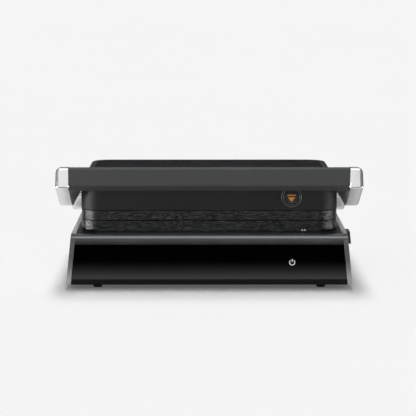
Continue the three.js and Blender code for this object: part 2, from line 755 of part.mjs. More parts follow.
function baseGroup() {
  const group = new THREE.Group();
  piece(group, 'base_housing', baseHousing(), 'dark');
  piece(group, 'base_bottom_cover', bottomCover(), 'dark');
  piece(group, 'front_bezel', frontBezel(), 'paint');
  piece(group, 'control_panel_glass', controlGlass(), 'glass');
  piece(group, 'control_board', controlBoard(), 'board');
  piece(group, 'left_side_panel', sidePanel(-1), 'silver');
  piece(group, 'right_side_panel', sidePanel(1), 'silver');
  piece(group, 'left_hinge_tower', hingeTower(-1), 'dark');
  piece(group, 'right_hinge_tower', hingeTower(1), 'dark');
  piece(group, 'left_hinge_bush', hingeBush(-1), 'steel');
  piece(group, 'right_hinge_bush', hingeBush(1), 'steel');
  piece(group, 'lower_grill_plate', lowerPlate(), 'cast');
  piece(group, 'lower_heater', heater(60), 'steel');
  piece(group, 'lower_reflector', lowerReflector(), 'steel');
  piece(group, 'lower_thermostat', thermostat(40.5, DECK_Z - PAN.depth - GAP), 'steel');
  piece(group, 'cable_gland', cableGland(), 'rubber');
  piece(group, 'power_terminal_block', terminalBlock(), 'dark');
  FOOT_PLACES.forEach(([corner, x, y]) => piece(group, `foot_${corner}`, foot(x, y), 'rubber'));
  SCREW_PLACES.forEach(([corner, x, y]) => piece(group, `cover_screw_${corner}`, coverScrew(x, y), 'steel'));
  return group;
}

function lidGroup() {
  const group = new THREE.Group();
  piece(group, 'lid_housing', lidHousing(), 'dark');
  piece(group, 'lid_top_panel', lidTopPanel(), 'gloss');
  piece(group, 'upper_grill_plate', upperPlate(), 'cast');
  piece(group, 'upper_heater', heater(98), 'steel');
  piece(group, 'upper_reflector', upperReflector(), 'steel');
  piece(group, 'upper_thermostat', thermostat(108 + GAP, 117), 'steel');
  piece(group, 'upper_button_ring', buttonRing(), 'gloss');
  const button = new THREE.Group();
  piece(button, 'upper_release_button', lidButton(), 'dark');
  piece(button, 'upper_button_spring', buttonSpring(), 'steel');
  group.add(button);
  return group;
}

function armsGroup() {
  const group = new THREE.Group();
  [['left', -1], ['right', 1]].forEach(([name, side]) => {
    piece(group, `${name}_arm`, arm(side), 'silver');
    piece(group, `${name}_arm_cover`, armCover(side), 'paint');
    piece(group, `${name}_lid_pivot_pin`, lidPivotPin(side), 'steel');
  });
  piece(group, 'handle_bar', handleBar(), 'paint');
  return group;
}

function slidesGroup() {
  const group = new THREE.Group();
  piece(group, 'drip_tray', dripTray(), 'silver');
  piece(group, 'lower_release_slider', lowerSlider(), 'dark');
  piece(group, 'lower_slider_spring', bar('y', 2.4, -144.6, -139.3, [SLIDER.x, 53.8]), 'steel');
  piece(group, 'lock_knob', lockKnob(), 'dark');
  piece(group, 'lock_rod', lockRod(), 'steel');
  return group;
}

const paniniPress = new THREE.Group();
const shaftGroup = new THREE.Group();
piece(shaftGroup, 'hinge_shaft', hingeShaft(), 'steel');
paniniPress.add(baseGroup(), shaftGroup, armsGroup(), lidGroup(), slidesGroup());

export default paniniPress;
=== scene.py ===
import json
import math

import bmesh
import bpy
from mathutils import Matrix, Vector


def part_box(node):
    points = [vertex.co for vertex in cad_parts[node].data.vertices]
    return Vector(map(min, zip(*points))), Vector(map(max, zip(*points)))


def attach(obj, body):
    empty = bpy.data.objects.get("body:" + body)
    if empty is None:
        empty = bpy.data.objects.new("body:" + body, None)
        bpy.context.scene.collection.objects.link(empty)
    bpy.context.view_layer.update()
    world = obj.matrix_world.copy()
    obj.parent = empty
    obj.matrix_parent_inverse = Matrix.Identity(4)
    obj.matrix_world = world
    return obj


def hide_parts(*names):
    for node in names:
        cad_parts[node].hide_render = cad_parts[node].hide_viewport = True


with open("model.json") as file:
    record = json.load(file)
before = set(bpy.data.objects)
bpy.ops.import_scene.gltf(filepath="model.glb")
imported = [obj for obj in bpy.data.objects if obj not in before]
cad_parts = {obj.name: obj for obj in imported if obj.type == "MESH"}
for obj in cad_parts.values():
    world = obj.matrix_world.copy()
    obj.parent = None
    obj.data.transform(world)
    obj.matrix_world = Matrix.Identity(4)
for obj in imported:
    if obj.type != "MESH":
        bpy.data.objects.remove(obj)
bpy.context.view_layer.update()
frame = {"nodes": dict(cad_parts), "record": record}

# Sizes of the object are in millimetres, and sizes of the studio are in metres.
MM = 0.001
CAMERA = {"place": (-7.9, -2426.5, 386.3), "down": 7.266, "turned": 0.161, "lens": 168.3}
DOME = 0.2  # brightness of the even pale light from all round
SUNS = [(0.0, 0.62), (0.17, 0.62), (0.34, 0.6), (0.5, 0.42)]  # lean towards the front, strength
SUN_ANGLE = 14  # how large each lamp looks, in degrees
SUN_ASIDE = 0.012
PALE = (1.0, 0.99, 0.995, 1)
FLOOR_GLOW = 0.105
STUDIO_DARK = 0.02  # what shiny surfaces see between the panels
STUDIO_PANELS = [  # direction, inner and outer angle in degrees, brightness
    ((0, -1, 0.0), 14, 36, 0.6),
    ((0, -0.8, 0.6), 13, 33, 1.6),
    ((0, 0.914, 0.407), 0.1, 20, 0.13),
    ((0, 0.3, 1), 20, 50, 0.9),
]
CARD = {  # distances over which the black card fades in or out
    "near": 0.072, "full": 0.225, "far": 0.6, "gone": 0.8,
    "side": 0.09, "side_full": 0.24, "shift": 0.14,
    "wide": 0.45, "wide_full": 0.75, "rear": 0.6, "rear_full": 1.2,
}
CARD_FADE = 2.3  # how quickly it turns black in front of the base
CARD_SIDES = {"left": (0.28, 0.8), "right": (0.6, 0.92)}  # how black beside the base and far out
SOFTBOXES = [  # side, x, nearest and farthest y, height, brightness
    ("left", -0.6, -0.64, 0.02, 0.042, 21.0),
    ("right", 0.6, -0.6, 0.0, 0.034, 12.0),
]
SOFTBOX_FADE = 0.12
LID_TOP, LID_CEILING, LID_WALL, LID_EDGE = 124.0, 119.5, 3.0, 2.8
PANEL_INSET, PANEL_SEAT, PANEL_CROWN = 8.0, 122.0, 1.4
PANEL_GAP, PANEL_EDGE = 0.35, 0.7
PANEL_LIP = PANEL_INSET - 0.7  # where the lid's top steps down to the panel
LID_RADIUS = 24.0
LID_BUTTON = {"x": 98.0, "z": 106.7, "radius": 8.4, "ring": 11.8, "stem": 3.3}
BRACKET = {"half": 8, "front": -109, "rear": -106, "bottom": 97}  # it guides the button's stem
LID_PIVOT = {"y": 5.5, "z": 103.5, "bore": 4.4}
HINGE = {"y": 145.5, "z": 78.5, "hub": 22.0, "bore": 5.3}
ARM = {"inner": 164.6, "outer": 180.7, "front": -167.5, "top": 145.5, "bend": -156.0, "underside": 90.5}
ARM_SLOPE = {"from": 121.4, "to": -92.0}
ARM_LEAN = 1.0  # how far the cap's outer side leans in at its top
ARM_EDGE, ARM_TOP_EDGE, ARM_FRONT_EDGE = 3.0, 7.0, 4.2  # how round the outer edges are
ARM_RECESS = {"margin": 2.0, "depth": 2.8}
ARM_REAR = 119.0  # where the underside ends, before the hub
HUB_FROM, HUB_TO, HUB_STEPS = 82, -195, 72  # the arc of the hub, in degrees
SLIDER_FRONT = -138.0
POWER_MARK = {"x": 98.0, "z": 31.9, "radius": 3.1, "line": 0.65, "from": 0.6, "to": 4.1}
TRIM_LINE = 0.35  # half the thickness of the bright rings round the button
# painted light: the arm covers take a far paler copy of the handle paint, standing in for light on their
# shaded inner faces
FINISH_OF = {"left_arm_cover": "cover_paint_painted_light", "right_arm_cover": "cover_paint_painted_light"}
SOFT_EDGE = {  # width of the rounded edges, where it differs from EDGE
    "left_side_panel": 1.5, "right_side_panel": 1.5, "lock_knob": 0.9, "handle_bar": 0.7,
    "lower_grill_plate": 0.2, "upper_grill_plate": 0.2,
}
EDGE = 0.4
NODES = frame["nodes"]
REMADE = ("left_arm", "right_arm", "lid_housing", "lid_top_panel", "upper_button_ring")


# ---- camera, floor and light ----

def add_object(name, data):
    made = bpy.data.objects.new(name, data)
    bpy.context.scene.collection.objects.link(made)
    return made


def make_camera():
    """A long lens, a little above the object and looking slightly down at its front."""
    data = bpy.data.cameras.new("camera")
    data.lens = CAMERA["lens"]
    data.sensor_width = 36.0
    data.clip_end = 200.0
    camera = add_object("camera", data)
    camera.location = Vector(CAMERA["place"]) * MM
    pitch = math.radians(CAMERA["down"])
    yaw = math.radians(CAMERA["turned"])
    ahead = Vector((math.sin(yaw) * math.cos(pitch), math.cos(yaw) * math.cos(pitch), -math.sin(pitch)))
    camera.rotation_euler = ahead.to_track_quat("-Z", "Y").to_euler()
    bpy.context.scene.camera = camera


def plane(name, x0, x1, y0, y1, z):
    mesh = bpy.data.meshes.new(name)
    mesh.from_pydata([(x0, y0, z), (x1, y0, z), (x1, y1, z), (x0, y1, z)], [], [(0, 1, 2, 3)])
    return add_object(name, mesh)


def make_floor():
    floor = plane("studio_floor", -60, 60, -60, 60, 0.0)
    floor.data.materials.append(floor_material())


def only_in_reflections(made):
    for kind in ("camera", "diffuse", "shadow", "transmission", "volume_scatter"):
        setattr(made, f"visible_{kind}", False)


def make_dark_card():
    """A black card on the floor, seen only in reflections: it keeps the glass front black."""
    card = plane("studio_card", -12, 12, -1.9, 40, 0.002)
    card.data.materials.append(card_material(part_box("base_housing")[0].y))
    only_in_reflections(card)


def make_softboxes():
    """Two upright soft panels beside the object, seen only in reflections."""
    for side, x, y0, y1, height, brightness in SOFTBOXES:
        mesh = bpy.data.meshes.new(f"softbox_{side}")
        mesh.from_pydata([(x, y0, 0), (x, y1, 0), (x, y1, height), (x, y0, height)], [], [(0, 1, 2, 3)])
        made = add_object(f"softbox_{side}", mesh)
        mesh.materials.append(softbox_material(side, y0, y1, brightness))
        only_in_reflections(made)


def add_sun(name, strength, angle, direction):
    """A soft distant lamp; direction is the way its light travels."""
    data = bpy.data.lights.new(name, "SUN")
    data.energy = strength
    data.angle = math.radians(angle)
    lamp = add_object(name, data)
    lamp.rotation_euler = Vector(direction).to_track_quat("-Z", "Y").to_euler()
    lamp.visible_glossy = False


def make_strip_light():
    """A strip of light overhead, along the depth of the object, as soft lamps, one for each entry of SUNS.
    """
    for i, (lean, strength) in enumerate(SUNS):
        add_sun(f"strip_{i}", strength, SUN_ANGLE, (SUN_ASIDE, -lean, -1.0))


def world_panel(tree, direction, inner, outer, strength):
    """How much a soft round panel gives in the looked-at direction: full within inner degrees."""
    where = tree.nodes.new("ShaderNodeTexCoord")
    dot = tree.nodes.new("ShaderNodeVectorMath")
    dot.operation = "DOT_PRODUCT"
    dot.inputs[1].default_value = Vector(direction).normalized()
    tree.links.new(where.outputs["Generated"], dot.inputs[0])
    shape = tree.nodes.new("ShaderNodeMapRange")
    shape.interpolation_type = "SMOOTHSTEP"
    shape.inputs["From Min"].default_value = math.cos(math.radians(outer))
    shape.inputs["From Max"].default_value = math.cos(math.radians(inner))
    shape.inputs["To Max"].default_value = strength
    tree.links.new(dot.outputs["Value"], shape.inputs["Value"])
    return shape.outputs["Result"]


def make_world():
    """An even pale dome for the light itself, and a dark studio with soft panels for gloss."""
    world = bpy.data.worlds.new("studio")
    bpy.context.scene.world = world
    world.use_nodes = True
    tree = world.node_tree
    tree.nodes.clear()
    out = tree.nodes.new("ShaderNodeOutputWorld")
    dome = tree.nodes.new("ShaderNodeBackground")
    dome.inputs["Color"].default_value = PALE
    dome.inputs["Strength"].default_value = DOME
    studio = tree.nodes.new("ShaderNodeBackground")
    total = None
    for panel in STUDIO_PANELS:
        amount = world_panel(tree, *panel)
        if total is None:
            total = amount
            continue
        add = tree.nodes.new("ShaderNodeMath")
        add.operation = "ADD"
        tree.links.new(total, add.inputs[0])
        tree.links.new(amount, add.inputs[1])
        total = add.outputs[0]
    base = tree.nodes.new("ShaderNodeMath")
    base.operation = "ADD"
    base.inputs[1].default_value = STUDIO_DARK
    tree.links.new(total, base.inputs[0])
    studio.inputs["Color"].default_value = (0.96, 0.98, 1.0, 1)
    tree.links.new(base.outputs[0], studio.inputs["Strength"])
    path = tree.nodes.new("ShaderNodeLightPath")
    mix = tree.nodes.new("ShaderNodeMixShader")
    tree.links.new(path.outputs["Is Glossy Ray"], mix.inputs["Fac"])
    tree.links.new(dome.outputs[0], mix.inputs[1])
    tree.links.new(studio.outputs[0], mix.inputs[2])
    tree.links.new(mix.outputs[0], out.inputs["Surface"])


def fill_ramp(ramp, stops):
    elements = ramp.color_ramp.elements
    while len(elements) > 1:
        elements.remove(elements[-1])
    elements[0].position, elements[0].color = stops[0]
    for place, colour in stops[1:]:
        elements.new(place).color = colour


# ---- materials ----

class Material:
    """A Principled material and short ways to add procedural detail to it."""

    def __init__(self, name, roughness=0.5, metallic=0.0, specular=0.5, coat=0.0, coat_roughness=0.1):
        self.material = bpy.data.materials.new(name)
        self.material.use_nodes = True
        self.nodes = self.material.node_tree.nodes
        self.links = self.material.node_tree.links
        self.shader = self.nodes["Principled BSDF"]
        self.shader.inputs["Roughness"].default_value = roughness
        self.shader.inputs["Metallic"].default_value = metallic
        self.shader.inputs["Specular IOR Level"].default_value = specular
        self.shader.inputs["Coat Weight"].default_value = coat
        self.shader.inputs["Coat Roughness"].default_value = coat_roughness
        self.coordinates = self.nodes.new("ShaderNodeTexCoord").outputs["Object"]
        self.normal = None

    def scaled(self, scale):
        mapping = self.nodes.new("ShaderNodeMapping")
        mapping.inputs["Scale"].default_value = scale
        self.links.new(self.coordinates, mapping.inputs["Vector"])
        return mapping.outputs[0]

    def noise(self, scale=(1, 1, 1), size=100.0, detail=4.0, roughness=0.55, distortion=0.0):
        """Noise from 0 to 1; size is in waves per metre, stretched by scale."""
        node = self.nodes.new("ShaderNodeTexNoise")
        node.inputs["Scale"].default_value = size
        node.inputs["Detail"].default_value = detail
        node.inputs["Roughness"].default_value = roughness
        node.inputs["Distortion"].default_value = distortion
        self.links.new(self.scaled(scale), node.inputs["Vector"])
        return node.outputs["Fac"]

    def cells(self, size, scale=(1, 1, 1)):
        node = self.nodes.new("ShaderNodeTexVoronoi")
        node.inputs["Scale"].default_value = size
        self.links.new(self.scaled(scale), node.inputs["Vector"])
        return node.outputs["Distance"]

    def ramp(self, value, stops):
        node = self.nodes.new("ShaderNodeValToRGB")
        fill_ramp(node, [(place, tuple(colour) + (1,)) for place, colour in stops])
        self.links.new(value, node.inputs["Fac"])
        return node.outputs["Color"]

    def remap(self, value, low, high, start=0.3, end=0.7):
        node = self.nodes.new("ShaderNodeMapRange")
        for key, number in zip(("From Min", "From Max", "To Min", "To Max"), (start, end, low, high)):
            node.inputs[key].default_value = number
        self.links.new(value, node.inputs["Value"])
        return node.outputs["Result"]

    def edges(self, radius):
        """Near 1 on convex and concave edges and 0 on open faces."""
        bevel = self.nodes.new("ShaderNodeBevel")
        bevel.samples = 6
        bevel.inputs["Radius"].default_value = radius
        geometry = self.nodes.new("ShaderNodeNewGeometry")
        dot = self.nodes.new("ShaderNodeVectorMath")
        dot.operation = "DOT_PRODUCT"
        self.links.new(bevel.outputs[0], dot.inputs[0])
        self.links.new(geometry.outputs["Normal"], dot.inputs[1])
        return self.remap(dot.outputs["Value"], 1.0, 0.0, 0.86, 0.995)

    def underside(self):
        """1 where the piece itself faces down, 0 elsewhere: the mask for painted shade underneath."""
        normal = self.nodes.new("ShaderNodeTexCoord").outputs["Normal"]
        split = self.nodes.new("ShaderNodeSeparateXYZ")
        self.links.new(normal, split.inputs[0])
        return self.remap(split.outputs["Z"], 1.0, 0.0, -0.5, -0.2)

    def height(self, low, high):
        """0 at and under the height low, 1 at and over high, in the piece's own coordinates."""
        place = self.nodes.new("ShaderNodeTexCoord").outputs["Object"]
        split = self.nodes.new("ShaderNodeSeparateXYZ")
        self.links.new(place, split.inputs[0])
        return self.remap(split.outputs["Z"], 0.0, 1.0, low, high)

    def product(self, a, b):
        node = self.nodes.new("ShaderNodeMath")
        node.operation = "MULTIPLY"
        self.links.new(a, node.inputs[0])
        self.links.new(b, node.inputs[1])
        return node.outputs[0]

    def mix(self, amount, first, second):
        node = self.nodes.new("ShaderNodeMix")
        node.data_type = "RGBA"
        self.links.new(amount, node.inputs["Factor"])
        for socket, value in ((node.inputs[6], first), (node.inputs[7], second)):
            if isinstance(value, bpy.types.NodeSocket):
                self.links.new(value, socket)
            else:
                socket.default_value = tuple(value) + (1,)
        return node.outputs[2]

    def bump(self, height, strength, distance):
        node = self.nodes.new("ShaderNodeBump")
        node.inputs["Strength"].default_value = strength
        node.inputs["Distance"].default_value = distance
        self.links.new(height, node.inputs["Height"])
        if self.normal is not None:
            self.links.new(self.normal, node.inputs["Normal"])
        self.normal = node.outputs[0]

    def done(self, colour=None, roughness=None):
        if colour is not None:
            self.links.new(colour, self.shader.inputs["Base Color"])
        if roughness is not None:
            self.links.new(roughness, self.shader.inputs["Roughness"])
        if self.normal is not None:
            self.links.new(self.normal, self.shader.inputs["Normal"])
        return self.material


def grey(value, warm=-0.022):
    """A grey, slightly cool unless warm is raised."""
    return (value * (1 + warm), value, value * (1 - warm))


def floor_material():
    m = Material("studio_floor", roughness=0.9, specular=0.0)
    tone = m.ramp(m.noise(size=2.0, detail=2), [(0.3, (0.91, 0.9, 0.905)), (0.7, (0.92, 0.91, 0.915))])
    m.shader.inputs["Emission Color"].default_value = PALE
    m.shader.inputs["Emission Strength"].default_value = FLOOR_GLOW
    return m.done(tone)


def maths(m, operation, a, b=None):
    node = m.nodes.new("ShaderNodeMath")
    node.operation = operation
    for socket, value in zip(node.inputs, (a, b)):
        if isinstance(value, bpy.types.NodeSocket):
            m.links.new(value, socket)
        elif value is not None:
            socket.default_value = value
    return node.outputs[0]


def smooth_step(m, value, start, end):
    """0 before start and 1 after end."""
    node = m.nodes.new("ShaderNodeMapRange")
    node.interpolation_type = "SMOOTHSTEP"
    node.inputs["From Min"].default_value = start
    node.inputs["From Max"].default_value = end
    m.links.new(value, node.inputs["Value"])
    return node.outputs["Result"]


def card_material(front):
    """Black in front of the base, clear close to it and far out, and grey to the two sides."""
    m = Material("studio_card", roughness=1.0, specular=0.0)
    m.shader.inputs["Base Color"].default_value = (0, 0, 0, 1)
    split = m.nodes.new("ShaderNodeSeparateXYZ")
    m.links.new(m.coordinates, split.inputs[0])
    ahead = maths(m, "SUBTRACT", front, split.outputs["Y"])
    x = split.outputs["X"]
    near = maths(m, "POWER", m.remap(ahead, 1.0, 0.0, CARD["near"], CARD["full"]), CARD_FADE)
    reach = maths(m, "SUBTRACT", 1.0, smooth_step(m, ahead, CARD["far"], CARD["gone"]))
    alpha = maths(m, "MULTIPLY", maths(m, "SUBTRACT", 1.0, near), reach)
    shift = maths(m, "MULTIPLY", smooth_step(m, ahead, -0.06, 0.04), CARD["shift"])
    for sign, side in ((-1, "left"), (1, "right")):
        beside = maths(m, "SUBTRACT", maths(m, "MULTIPLY", x, sign), shift)
        out = smooth_step(m, beside, CARD["side"], CARD["side_full"])
        wide = smooth_step(m, maths(m, "MULTIPLY", x, sign), CARD["wide"], CARD["wide_full"])
        low, high = CARD_SIDES[side]
        level = m.remap(wide, low, high, 0.0, 1.0)
        kept = maths(m, "MULTIPLY", alpha, maths(m, "SUBTRACT", 1.0, out))
        alpha = maths(m, "ADD", kept, maths(m, "MULTIPLY", out, level))
    alpha = maths(m, "MAXIMUM", alpha, smooth_step(m, split.outputs["Y"], CARD["rear"], CARD["rear_full"]))
    m.links.new(alpha, m.shader.inputs["Alpha"])
    return m.done()


def softbox_material(side, y0, y1, brightness):
    """Glows in the middle and fades towards its two upright edges."""
    m = Material(f"softbox_{side}", roughness=1.0, specular=0.0)
    m.shader.inputs["Base Color"].default_value = (0, 0, 0, 1)
    m.shader.inputs["Emission Color"].default_value = (1, 1, 1, 1)
    m.shader.inputs["Emission Strength"].default_value = brightness
    split = m.nodes.new("ShaderNodeSeparateXYZ")
    m.links.new(m.coordinates, split.inputs[0])
    y = split.outputs["Y"]
    rise = smooth_step(m, y, y0, y0 + SOFTBOX_FADE)
    fall = maths(m, "SUBTRACT", 1.0, smooth_step(m, y, y1 - SOFTBOX_FADE, y1))
    m.links.new(maths(m, "MULTIPLY", rise, fall), m.shader.inputs["Alpha"])
    return m.done()


def moulded_plastic(name, tone, roughness=0.5, grain=2600.0, depth=0.03, specular=0.32):
    """Dark plastic with a fine spark-eroded grain, faint flow marks and slightly paler worn edges."""
    m = Material(name, roughness=roughness, specular=specular)
    flow = m.noise(size=14.0, detail=3)
    fine = m.noise(size=grain, detail=2)
    base = m.ramp(flow, [(0.35, grey(tone * 0.88)), (0.65, grey(tone * 1.12))])
    worn = m.product(m.edges(0.0007), m.remap(m.noise(size=160.0), 0.15, 0.7))
    colour = m.mix(worn, base, grey(tone * 2.2))
    m.bump(fine, depth, 0.0004)
    return m.done(colour, m.remap(m.noise(size=40.0, detail=5), roughness - 0.06, roughness + 0.08))


def metallic_paint(name, tone, roughness=0.42, metallic=0.35, under=1.0, shade_heights=None):
    """Dark grey paint with metal flake under a thin satin coat, with painted shade on the underside, darker
    by under there.

    With its last argument, two heights in metres, painted shade turns the paint almost black from the upper
    to the lower one.
    """
    m = Material(name, roughness=roughness, metallic=metallic, specular=0.5, coat=0.15, coat_roughness=0.35)
    flake = m.cells(3800.0)
    base = m.ramp(flake, [(0.1, grey(tone * 1.25)), (0.6, grey(tone * 0.85))])
    cloud = m.noise(size=9.0, detail=3)
    base = m.mix(m.remap(cloud, 0.0, 0.25), base, grey(tone * 1.3))
    worn = m.product(m.edges(0.0008), m.remap(m.noise(size=140.0), 0.2, 0.8))
    colour = m.mix(worn, base, grey(tone * 2.3))
    if under < 1.0:
        # painted shade on the faces that point down
        colour = m.mix(m.underside(), colour, grey(tone * under))
    if shade_heights is not None:
        # painted shade: the paint turns near black towards the lower height
        colour = m.mix(m.height(*shade_heights), grey(tone * 0.08), colour)
    m.bump(m.noise(size=1600.0, detail=3), 0.02, 0.0003)
    return m.done(colour, m.remap(m.noise(size=30.0, detail=4), roughness - 0.03, roughness + 0.05))


def satin_aluminium(name, tone, roughness=0.34, along=(0.02, 1, 1)):
    """Brushed or blasted aluminium: fine lines along one axis, handling marks, brighter edges."""
    m = Material(name, roughness=roughness, metallic=0.92)
    lines = m.noise(scale=along, size=2400.0, detail=3, roughness=0.7)
    base = m.ramp(lines, [(0.3, grey(tone * 0.96, 0)), (0.7, grey(min(tone * 1.03, 0.97), 0))])
    marks = m.remap(m.noise(size=22.0, detail=6, roughness=0.65), 0.0, 0.2, 0.45, 0.75)
    base = m.mix(marks, base, grey(tone * 0.9, 0.01))
    colour = m.mix(m.edges(0.0004), base, grey(min(tone * 1.08, 0.97), 0))
    m.bump(lines, 0.012, 0.0001)
    polish = m.noise(scale=along, size=700.0, detail=4)
    return m.done(colour, m.remap(polish, roughness - 0.02, roughness + 0.04))


def cast_plate_material():
    """Dark coated metal with a fine hammered grain, drawn out into short level waves."""
    m = Material("cast_plate", roughness=0.3, metallic=0.85, specular=0.4)
    waves = m.noise(scale=(0.3, 0.3, 1.5), size=620.0, detail=5, roughness=0.7, distortion=1.4)
    pits = m.cells(900.0, scale=(0.6, 0.6, 1.5))
    cloud = m.noise(scale=(0.5, 0.5, 1), size=70.0, detail=3)
    base = m.ramp(waves, [(0.4, grey(0.006)), (0.5, grey(0.034)), (0.6, grey(0.16))])
    base = m.mix(m.remap(cloud, 0.0, 0.4), base, grey(0.035))
    colour = m.mix(m.product(m.edges(0.0005), m.remap(m.noise(size=200.0), 0.1, 0.6)), base, grey(0.05))
    m.bump(waves, 0.32, 0.0008)
    m.bump(pits, 0.15, 0.0004)
    return m.done(colour, m.remap(waves, 0.28, 0.15, 0.35, 0.65))


def black_glass():
    """Back-painted glass, with faint finger smears in the gloss."""
    m = Material("panel_glass", roughness=0.03, specular=0.6)
    smear = m.noise(scale=(1, 1, 0.6), size=26.0, detail=5, distortion=0.6)
    base = m.ramp(m.noise(size=300.0, detail=2), [(0.45, grey(0.0012)), (0.75, grey(0.0022))])
    return m.done(base, m.remap(smear, 0.012, 0.05))


def gloss_plastic(name, tone, roughness=0.16, blue=0.0):
    """Polished dark plastic with a slight ripple; blue tints it."""
    m = Material(name, roughness=roughness, specular=0.5)
    cloud = m.noise(size=18.0, detail=3)
    low, high = tone * 0.88, tone * 1.12
    base = m.ramp(cloud, [(0.35, (low, low, low * (1 + blue))), (0.65, (high, high, high * (1 + blue)))])
    colour = m.mix(m.remap(m.edges(0.0006), 0.0, 0.5, 0.0, 1.0), base, grey(tone * 3))
    m.bump(m.noise(size=60.0, detail=2), 0.03, 0.0008)
    return m.done(colour, m.remap(m.noise(size=50.0, detail=5), roughness - 0.04, roughness + 0.08))


def rubber_material():
    m = Material("rubber", roughness=0.85, specular=0.25)
    base = m.ramp(m.noise(size=600.0, detail=4), [(0.35, grey(0.008)), (0.65, grey(0.016))])
    colour = m.mix(m.product(m.edges(0.0006), m.noise(size=300.0)), base, grey(0.05))
    m.bump(m.noise(size=1800.0, detail=2), 0.15, 0.0003)
    return m.done(colour, m.remap(m.noise(size=120.0), 0.75, 0.95))


def drawn_steel(name, tone=0.5, roughness=0.3, along=(0.03, 1, 1)):
    m = Material(name, roughness=roughness, metallic=1.0)
    lines = m.noise(scale=along, size=1500.0, detail=4)
    base = m.ramp(lines, [(0.3, grey(tone * 0.85, 0.01)), (0.7, grey(tone * 1.1, 0.01))])
    stain = m.remap(m.noise(size=45.0, detail=5), 0.0, 0.5, 0.5, 0.75)
    colour = m.mix(stain, base, grey(tone * 0.6, 0.06))
    m.bump(lines, 0.08, 0.0003)
    return m.done(colour, m.remap(m.noise(size=90.0, detail=4), roughness - 0.06, roughness + 0.14))


def circuit_board():
    m = Material("board", roughness=0.45, specular=0.4)
    tracks = m.cells(260.0)
    bright, dark, green = (0.05, 0.16, 0.08), (0.012, 0.06, 0.03), (0.016, 0.075, 0.038)
    base = m.ramp(tracks, [(0.05, bright), (0.12, dark), (0.8, green)])
    m.bump(tracks, 0.2, 0.0003)
    return m.done(base, m.remap(m.noise(size=400.0), 0.35, 0.55))


def glazed_ceramic():
    m = Material("ceramic", roughness=0.35, specular=0.5)
    base = m.ramp(m.noise(size=120.0, detail=4), [(0.35, (0.66, 0.63, 0.56)), (0.65, (0.75, 0.73, 0.67))])
    m.bump(m.noise(size=500.0, detail=3), 0.1, 0.0004)
    return m.done(base, m.remap(m.noise(size=160.0), 0.28, 0.5))


def printed_mark(name, colour, painted_glow=0.0):
    m = Material(name, roughness=0.45, specular=0.3)
    # painted light: the mark glows evenly, though no lamp lights it
    m.shader.inputs["Emission Color"].default_value = tuple(colour) + (1,)
    m.shader.inputs["Emission Strength"].default_value = painted_glow
    low = tuple(c * 0.85 for c in colour)
    base = m.ramp(m.noise(size=700.0, detail=3), [(0.35, low), (0.65, colour)])
    m.bump(m.noise(size=1500.0), 0.05, 0.0001)
    return m.done(base, m.remap(m.noise(size=300.0), 0.38, 0.55))


def bezel_shade_heights():
    """The heights between which painted shade darkens the bezel's paint: its lower part."""
    low, high = (corner.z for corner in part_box("front_bezel"))
    return low - 0.1 * (high - low), low + 0.72 * (high - low)


def make_materials():
    return {
        "housing_plastic": moulded_plastic("housing_plastic", 0.01, 0.4, specular=0.24),
        # painted shade darkens the bezel's lower part
        "bezel_paint": metallic_paint("bezel_paint", 0.135, 0.13, metallic=0.9, shade_heights=bezel_shade_heights()),
        "panel_glass": black_glass(),
        "side_aluminium": satin_aluminium("side_aluminium", 0.46, 0.2, along=(1, 0.02, 1)),
        "arm_aluminium": satin_aluminium("arm_aluminium", 0.985, 0.11, along=(1, 0.02, 1)),
        # painted shade: the handle's underside is painted at half its tone
        "handle_paint": metallic_paint("handle_paint", 0.088, 0.45, under=0.5),
        # painted light: a far paler copy of the handle paint for the arm covers
        "cover_paint_painted_light": metallic_paint("cover_paint_painted_light", 0.82, 0.4),
        "cast_plate": cast_plate_material(),
        "lid_plastic": moulded_plastic("lid_plastic", 0.024, 0.44, specular=0.27),
        "lid_gloss": gloss_plastic("lid_gloss", 0.0065, 0.16, blue=0.25),
        "steel": drawn_steel("steel"),
        "reflector_steel": drawn_steel("reflector_steel", 0.58, 0.34),
        "trim_metal": drawn_steel("trim_metal", 0.32, 0.3, along=(1, 1, 1)),
        "rubber": rubber_material(),
        "board": circuit_board(),
        "button_gloss": gloss_plastic("button_gloss", 0.014, 0.3),
        "tray_plastic": moulded_plastic("tray_plastic", 0.03, 0.45),
        "ceramic": glazed_ceramic(),
        # painted light: the white marks and the bronze arrow glow
        "mark_white": printed_mark("mark_white", (0.9, 0.91, 0.92), painted_glow=0.6),
        "mark_bronze": printed_mark("mark_bronze", (0.5, 0.19, 0.035), painted_glow=0.35),
    }


# ---- mesh making ----

def smooth_by_angle(mesh, angle=35.0):
    mesh.shade_smooth()
    mesh.set_sharp_from_angle(angle=math.radians(angle))


def closed_mesh(name, build):
    """An object from a function that fills a bmesh in millimetres."""
    bm = bmesh.new()
    build(bm)
    bmesh.ops.remove_doubles(bm, verts=bm.verts, dist=0.001)
    bmesh.ops.scale(bm, vec=(MM, MM, MM), verts=bm.verts)
    bmesh.ops.recalc_face_normals(bm, faces=bm.faces)
    mesh = bpy.data.meshes.new(name)
    bm.to_mesh(mesh)
    bm.free()
    smooth_by_angle(mesh)
    return add_object(name, mesh)


def loft(bm, rings, closed=False):
    """Skins rings of equally many points; the ends are filled unless the rings close on themselves."""
    rows = [[bm.verts.new(point) for point in ring] for ring in rings]
    pairs = list(zip(rows, rows[1:]))
    if closed:
        pairs.append((rows[-1], rows[0]))
    for first, second in pairs:
        for i in range(len(first)):
            j = (i + 1) % len(first)
            bm.faces.new((first[i], first[j], second[j], second[i]))
    if not closed:
        bm.faces.new(rows[0])
        bm.faces.new(rows[-1])


def lathe(name, profile, centre, sides=96):
    """Turns (radius, y) points round an axis along y through centre (x, z)."""
    def build(bm):
        turns = [2 * math.pi * i / sides for i in range(sides)]
        loft(bm, [[(centre[0] + r * math.cos(t), y, centre[1] + r * math.sin(t)) for t in turns]
                  for r, y in profile])
    return closed_mesh(name, build)


